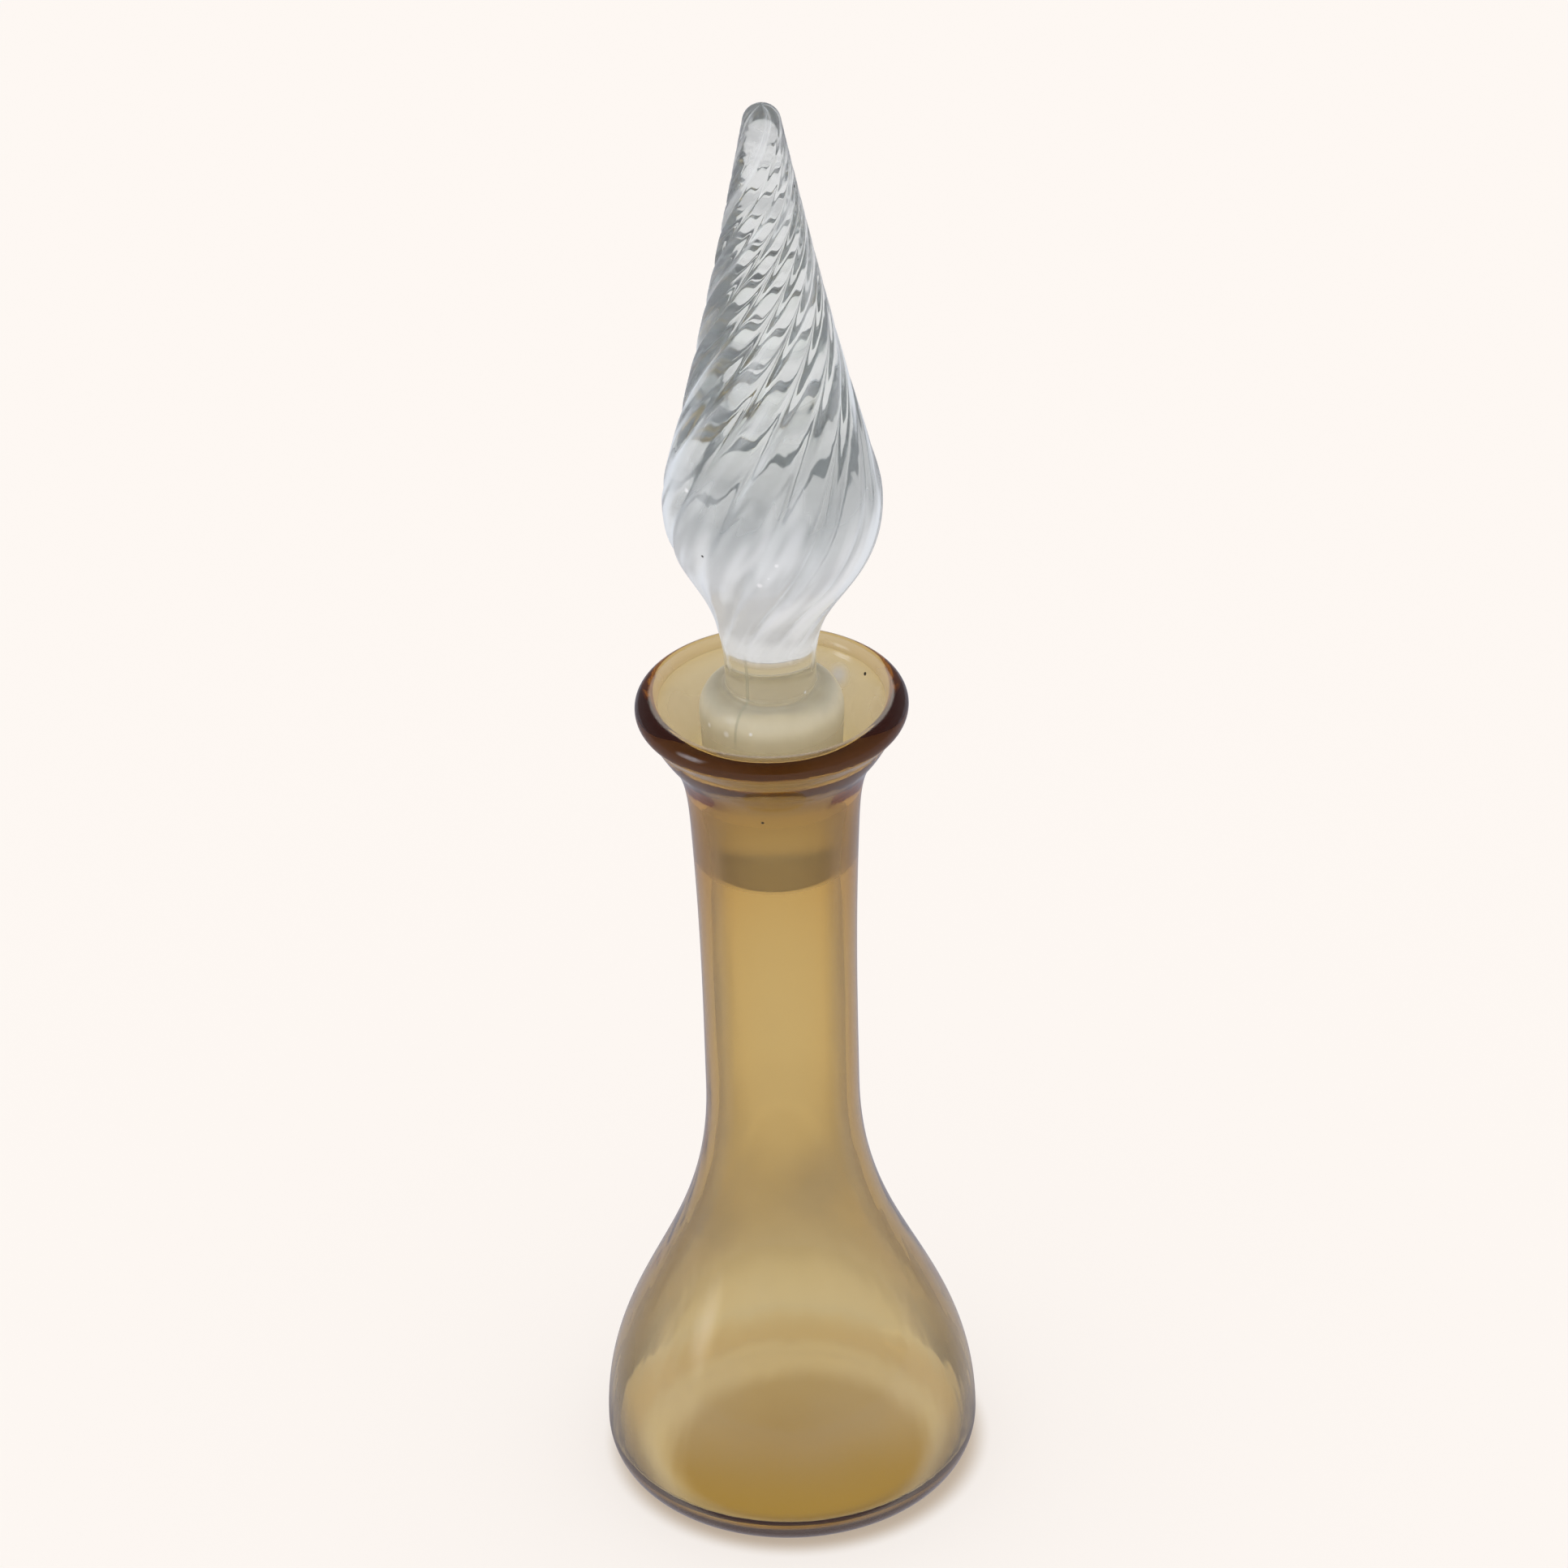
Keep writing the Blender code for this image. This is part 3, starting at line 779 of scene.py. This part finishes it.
class DECANTER_OT_stage(bpy.types.Operator):
    """Set up the pale floor, the soft light and the camera"""

    bl_idname = "decanter.stage"
    bl_label = "Stage"

    def execute(self, context):
        s = context.scene.decanter_stage
        self.lay_floor(context, s)
        self.light_world(context, s)
        self.set_camera(context, s)
        context.scene.view_settings.view_transform = "Standard"
        return {"FINISHED"}

    def lay_floor(self, context, s):
        """A pale floor, with colours of its own where glass shows or mirrors it, a painted contact
        shadow round the bottle and painted amber light and shade under its base.
        """
        select_none()
        bpy.ops.mesh.primitive_plane_add(size=FLOOR_SIZE, location=(0, 0, 0))
        floor = context.object
        floor.name = floor.data.name = "stage_floor"
        material, nodes = new_material("pale_floor")
        x, y, _ = nodes.parts(nodes.place())
        paper_edge = x.across(y).rise(s.near * PAPER_FADE[0], s.near * PAPER_FADE[1])
        shown = nodes.blend(paper_edge, s.near_floor, s.seen_floor)
        # Painted amber light and shade under the base, fainter towards the back
        ahead = y + s.under_shift
        under = (x - s.under_aside).across(ahead).fall(*past(s.under, UNDER_FADE))
        under = under * (1.0 - ahead.rise(UNDER_FRONT, s.under) * UNDER_LOSS)
        shown = nodes.blend(under, shown, s.painted_amber_pool)
        # Painted contact shadow round the bottle's foot
        touch = (x - TOUCH_ASIDE).across(y).rise(*past(s.touch, TOUCH_FADE))
        open_floor = nodes.blend(touch, s.touch_floor, s.floor)
        surface = nodes.wire("ShaderNodeBsdfDiffuse", 0, (), {"Color": open_floor})
        surface = nodes.over(surface, s.even, nodes.glow(open_floor))
        surface = nodes.over(surface, nodes.ray("Transmission"), nodes.glow(shown))
        surface = nodes.over(surface, nodes.mirrored(), nodes.glow(s.mirror_floor))
        nodes.add("ShaderNodeOutputMaterial", (), {"Surface": surface})
        floor.data.materials.append(material)

    def light_world(self, context, s):
        """Even light on the floor, one room that the glass shows and one that it mirrors."""
        world = bpy.data.worlds.new("soft_studio")
        context.scene.world = world
        world.use_nodes = True
        world.cycles.sampling_method = "NONE"
        nodes = Nodes(world.node_tree)
        seen = nodes.ray("Camera")
        way = nodes.wire("ShaderNodeTexCoord", "Generated")
        _, y, z = nodes.parts(way)
        shown = nodes.blend(z.rise(*ROOM_RISE), s.room_low, s.room_high)
        shown = nodes.blend((y * -1.0).rise(*ROOM_FRONT), shown, s.room_front)
        shown = nodes.blend(self.window(nodes, way, *WINDOW), shown, s.window)
        mirrored = nodes.blend(z.rise(*CEILING_RISE), s.mirror_low, s.mirror_high)
        mirrored = nodes.blend(self.window(nodes, way, *CAMERA_GAP), mirrored, s.mirror_gap)
        mirrored = nodes.blend(self.window(nodes, way, *WINDOW), mirrored, s.window)
        even = nodes.blend(seen, OPEN_LIGHT, s.floor)
        light = nodes.blend(nodes.mirrored(), shown, mirrored)
        light = nodes.blend(seen.math("MAXIMUM", nodes.ray("Diffuse")), light, even)
        glow = nodes.wire("ShaderNodeBackground", 0, (), {"Color": light, "Strength": s.light})
        nodes.add("ShaderNodeOutputWorld", (), {"Surface": glow})

    def window(self, nodes, way, middle, across, up):
        """1 in a soft-edged window round a direction, with its half sizes as slopes."""
        middle = Vector(middle).normalized()
        level = Vector((-middle.y, middle.x, 0)).normalized()
        ahead = nodes.dot(way, middle)
        inside = ahead.math("GREATER_THAN", 0.0)
        for axis, half in ((level, across), (middle.cross(level), up)):
            slope = (nodes.dot(way, axis) / ahead).math("ABSOLUTE")
            inside = inside * slope.fall(half * WINDOW_EDGE[0], half * WINDOW_EDGE[1])
        return inside

    def set_camera(self, context, s):
        """A camera that looks down at the decanter."""
        lens = bpy.data.cameras.new("camera")
        lens.lens, lens.sensor_width = s.lens, SENSOR_WIDTH
        lens.clip_start, lens.clip_end = CLIP_RANGE
        camera = bpy.data.objects.new("camera", lens)
        context.scene.collection.objects.link(camera)
        back = Vector((0, -math.cos(s.elevation), math.sin(s.elevation)))
        aim = Vector((s.side, 0, s.target))
        look = (-back).to_track_quat("-Z", "Y").to_matrix().to_4x4()
        stand = Matrix.Translation(aim + back * s.distance)
        camera.matrix_world = stand @ look @ Matrix.Rotation(-s.roll, 4, "Z")
        context.scene.camera = camera


class DECANTER_OT_bottle(bpy.types.Operator):
    """Blow the amber bottle and give it its glass"""

    bl_idname = "decanter.bottle"
    bl_label = "Bottle"

    def execute(self, context):
        s, finish = context.scene.decanter_bottle, context.scene.decanter_glass
        piece = turned("bottle_glass", bottle_runs(s), BOTTLE_STEPS)
        piece.data.materials.clear()
        piece.data.materials.append(self.amber_glass(s, finish))
        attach(piece, "bottle")
        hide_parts("bottle")
        return {"FINISHED"}

    def amber_glass(self, s, finish):
        """Amber glass with a pale haze and a painted sheen, painted brown shade at its edges, heel and
        shoulder, a silvery violet film painted at its edges, a painted reflection of the window, dark
        specks and a painted brown glow inside.
        """
        material, nodes = new_material("amber_glass_blown")
        place = nodes.place()
        x, y, z = nodes.parts(place)
        out = x.across(y)
        turn = nodes.facing()
        smear = nodes.cloud(place, AMBER_SMEAR, SMEAR_DETAIL)
        waves = nodes.cloud(place, AMBER_WAVES, stretch=AMBER_STRETCH)
        seat = STOPPER_BOX[0][2]
        joint = z.rise(*past(seat, JOINT_FADE)) * z.fall(*past(seat + s.joint, JOINT_FADE))
        joint = joint * out.fall(*past(s.bore, JOINT_SKIN))
        surface = nodes.glass(smear.scaled(*AMBER_POLISH) + joint * finish.ground, waves, finish.waves)

        # How much of each layer shows where: the haze and painted sheen, the painted brown shade at the
        # edges and heel, the violet film painted at the edges and the haze in the mouth
        # The violet film, painted as sheen and shade at the very edges
        edge = turn.rise(*EDGE_SHEEN_TURN)
        aside = turn.rise(*past(finish.brown_shade_start, BROWN_SHADE_FADE))
        aside = aside * (1.0 - z.fall(*FOOT_HEIGHTS) * out.fall(*FOOT_RADII))
        # Painted shade round the heel, at the edges low on the belly
        low = z.rise(*HEEL_RISE) * z.fall(*HEEL_FALL) * aside * out.rise(*HEEL_RADII)
        below = z.fall(*past(finish.film_top, FILM_FADE))
        mouth = ((s.height - z) * MOUTH_LEAN + out).fall(*MOUTH_RADII) * z.rise(*MOUTH_HEIGHTS)
        haze = z.rise(*BLOOM_CLIMB) * (finish.bloom_neck - finish.belly_haze_and_sheen) + finish.belly_haze_and_sheen
        haze = haze * z.rise(*past(finish.bloom_low, BLOOM_FADE)).scaled(*BLOOM_SHARE)
        cover = haze * (1.0 - aside) + aside * finish.brown_shade_amount
        cover = cover + edge * (finish.edge_sheen_amount - finish.brown_shade_amount) + low * finish.heel_shade_amount
        cover = cover * below + mouth * finish.bloom_mouth
        # Painted shade patches on the shoulder
        shoulder_shade = nodes.spots(place, PAINTED_SHOULDER_SHADES, soft=0.1) * finish.shoulder_shade_amount

        # Its colour there, and the layers from the glass up: painted shade patches, the haze with its
        # painted shade and sheen, a painted reflection of the window and dark specks
        tone = nodes.blend(edge, nodes.blend(aside, finish.haze_and_sheen, finish.painted_brown_shade), finish.film)
        tone = nodes.blend(low * HEEL_SHADE_TONE, tone, finish.painted_heel_shade)
        tone = nodes.blend(mouth, tone, finish.mouth_haze)
        surface = nodes.film(surface, shoulder_shade * smear * SHOULDER_SHADE_SMEAR, finish.painted_brown_shade)
        surface = nodes.film(surface, cover * smear.scaled(*COVER_SMEAR), tone)
        # A painted reflection of the window in the bowl
        painted_highlights = nodes.spots(place, BOWL_WINDOW_REFLECTION, soft=0.0) * smear * HIGHLIGHT_SMEAR
        surface = nodes.film(surface, painted_highlights, finish.painted_highlight, roughness=0.3)
        surface = nodes.film(surface, nodes.spots(place, BOWL_SPECKS), finish.speck)
        # The inside takes amber light away and gives off a painted brown glow
        inside = nodes.wire("ShaderNodeAddShader", 0, (), {
            0: nodes.stain(finish.amber, finish.amber_density),
            1: nodes.glow(finish.depth, finish.painted_glow_strength)})
        nodes.add("ShaderNodeOutputMaterial", (), {"Surface": surface, "Volume": inside})
        return material


class DECANTER_OT_stopper(bpy.types.Operator):
    """Press and twist the clear flame stopper"""

    bl_idname = "decanter.stopper"
    bl_label = "Stopper"

    def execute(self, context):
        s, finish = context.scene.decanter_stopper, context.scene.decanter_glass
        piece = turned("stopper_glass", stopper_runs(s), s.ribs * STEPS_PER_RIB)
        base = s.flame_foot + RIB_START

        def spot(place, scales):
            """A point for noise that goes round the axis and up it, whatever the radius."""
            turn = math.atan2(place.y, place.x)
            return Vector((math.cos(turn) * scales[0], math.sin(turn) * scales[0], place.z * scales[1]))

        def groove(place):
            """How deep the groove is at a place, 0 between the grooves and 1 at the deepest."""
            if place.z <= base:
                return 0.0
            radius = math.hypot(place.x, place.y)
            strength = ease((place.z - base) / RIB_RISE) * ease((s.tip - place.z) / RIB_FADE)
            narrow = math.cos(s.ribs * math.atan2(place.y, place.x) / 2) ** 2
            uneven = UNEVEN_MEAN + UNEVEN_SPREAD * noise.noise(spot(place, UNEVEN_SCALES))
            strength *= min(max(uneven, UNEVEN_LEAST), 1.0)
            return strength * narrow ** s.groove_power * min(radius / (s.flame / 2), 1.0)

        def streak(place):
            """How milky the flame is at a place, about 0 to 1."""
            return noise.fractal(spot(place, STREAK_SCALES), *STREAK_NOISE) * 0.5 + 0.5

        grooves = weigh(piece, "grooves", groove)
        streaks = piece.data.attributes.new("streak", "FLOAT", "POINT")
        streaks.data.foreach_set("value", [streak(vertex.co) for vertex in piece.data.vertices])
        rings = rings_above(piece, base)
        turns = [s.rib_turn]
        for (low, wide, _), (high, narrow, _) in zip(rings, rings[1:]):
            share = ease((high - s.flame_foot - s.flame_belly) / LEAN_CHANGE)
            lean = s.rib_lean + (s.tip_lean - s.rib_lean) * share
            radius = max((wide + narrow) / 2, 2 * s.tip_round)
            turns.append(turns[-1] + math.tan(lean) * (high - low) / radius)
        shifts = [(s.off_centre * ease((height - base) / RIB_RISE), 0, 0) for height, _, _ in rings]
        turn_rings(piece, rings, turns, shifts)
        push(piece, grooves, -s.rib_depth)
        piece.data.materials.clear()
        piece.data.materials.append(self.clear_glass(s, finish))
        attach(piece, "stopper")
        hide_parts("stopper")
        return {"FINISHED"}

    def clear_glass(self, s, finish):
        """Clear pressed glass, dull on the ground plug and milky at the foot of the flame, with painted
        highlights along its ribs, at its edges and in small spots.
        """
        material, nodes = new_material("clear_glass_pressed")
        place = nodes.place()
        x, y, z = nodes.parts(place)
        turn = nodes.facing()
        streak = nodes.wire("ShaderNodeAttribute", "Fac", {"attribute_name": "streak"})
        smear = nodes.cloud(place, CLEAR_SMEAR, SMEAR_DETAIL)
        waves = nodes.cloud(place, CLEAR_WAVES, stretch=CLEAR_STRETCH)
        shoulder = s.seat + s.plug
        ground = z.fall(*past(shoulder, GROUND_FADE))
        surface = nodes.glass(smear.scaled(*CLEAR_POLISH) + ground * finish.ground, waves, finish.waves)

        # How much of each layer shows where, the painted highlights among them
        lower = z.rise(*past(s.seat, PLUG_FOOT_FADE)).scaled(*PLUG_FOOT_SHARE)
        lower = lower * z.fall(*past(shoulder, PLUG_DULL_FADE))
        dull = lower * PLUG_DULL + z.rise(*past(shoulder, STEM_DULL_RISE)) * STEM_DULL
        dull = dull * z.fall(*past(s.flame_foot, STEM_DULL_FALL)) * finish.dull_amount
        # Milky film, its streaks along the ribs partly painted highlights
        milk = streak.rise(*MILKY_HIGHLIGHT_STREAK) * finish.milky_highlight_streaks + finish.milk_amount
        milk = milk + z.fall(*past(s.flame_foot, MILK_FALL)) * finish.milk_foot
        milk = milk * z.rise(*past(s.flame_foot, MILK_RISE))
        # Painted bluish highlights in streaks where the flame turns away
        rim = turn.rise(*RIM_TURN) * streak.rise(*RIM_STREAK)
        rim = rim * z.rise(*past(s.flame_foot, RIM_RISE)) * z.fall(*past(s.tip, RIM_FALL))
        seam = (x * SEAM_WAY[0] - y * SEAM_WAY[1]).math("ABSOLUTE").fall(*SEAM_WIDTH)
        seam = seam * y.fall(*SEAM_FRONT)
        seam = seam * z.rise(*past(s.seat, SEAM_RISE)) * z.fall(*past(s.flame_foot, SEAM_FALL))
        # Painted highlights on the flame and the plug
        painted_highlights = nodes.spots(place, FLAME_HIGHLIGHTS + PLUG_HIGHLIGHTS, soft=0.2) * smear * HIGHLIGHT_SMEAR

        # The layers from the glass up, the painted highlights among them
        surface = nodes.film(surface, dull * smear.scaled(*DULL_SMEAR), finish.dull)
        surface = nodes.film(surface, milk, finish.milk, roughness=0.4)
        surface = nodes.film(surface, rim * finish.rim_highlight_amount, finish.rim, roughness=0.3)
        surface = nodes.film(surface, seam * SEAM_AMOUNT, finish.seam, roughness=0.4)
        surface = nodes.film(surface, nodes.spots(place, FLAME_SPECKS), finish.speck)
        surface = nodes.film(surface, painted_highlights, finish.painted_highlight, roughness=0.2)
        inside = nodes.stain(finish.clear, finish.clear_density)
        nodes.add("ShaderNodeOutputMaterial", (), {"Surface": surface, "Volume": inside})
        return material


class DECANTER_PT_panel(bpy.types.Panel):
    """Sizes, colours and makers of the decanter"""

    bl_idname = "DECANTER_PT_panel"
    bl_label = "Decanter"
    bl_space_type = "VIEW_3D"
    bl_region_type = "UI"
    bl_category = "Decanter"

    def draw(self, context):
        for operator in MAKERS:
            self.layout.operator(operator.bl_idname)
        for name in GROUPS:
            group = getattr(context.scene, name)
            box = self.layout.box()
            box.label(text=group.bl_rna.description)
            for field in group.__annotations__:
                box.prop(group, field)


MAKERS = (DECANTER_OT_stage, DECANTER_OT_bottle, DECANTER_OT_stopper)
GROUPS = {
    "decanter_bottle": BottleSizes,
    "decanter_stopper": StopperSizes,
    "decanter_glass": GlassFinish,
    "decanter_stage": StageSettings,
}


def register():
    """Registers the classes and puts the property groups on the scene."""
    for group in GROUPS.values():
        bpy.utils.register_class(group)
    for operator in MAKERS:
        bpy.utils.register_class(operator)
    bpy.utils.register_class(DECANTER_PT_panel)
    for name, group in GROUPS.items():
        setattr(bpy.types.Scene, name, bpy.props.PointerProperty(type=group))


def unregister():
    """Takes the property groups off the scene and unregisters the classes."""
    for name in GROUPS:
        delattr(bpy.types.Scene, name)
    bpy.utils.unregister_class(DECANTER_PT_panel)
    for operator in reversed(MAKERS):
        bpy.utils.unregister_class(operator)
    for group in reversed(list(GROUPS.values())):
        bpy.utils.unregister_class(group)


def main():
    """Registers the add-on and makes every piece."""
    register()
    bpy.ops.decanter.stage()
    bpy.ops.decanter.bottle()
    bpy.ops.decanter.stopper()


if __name__ == "__main__":
    main()
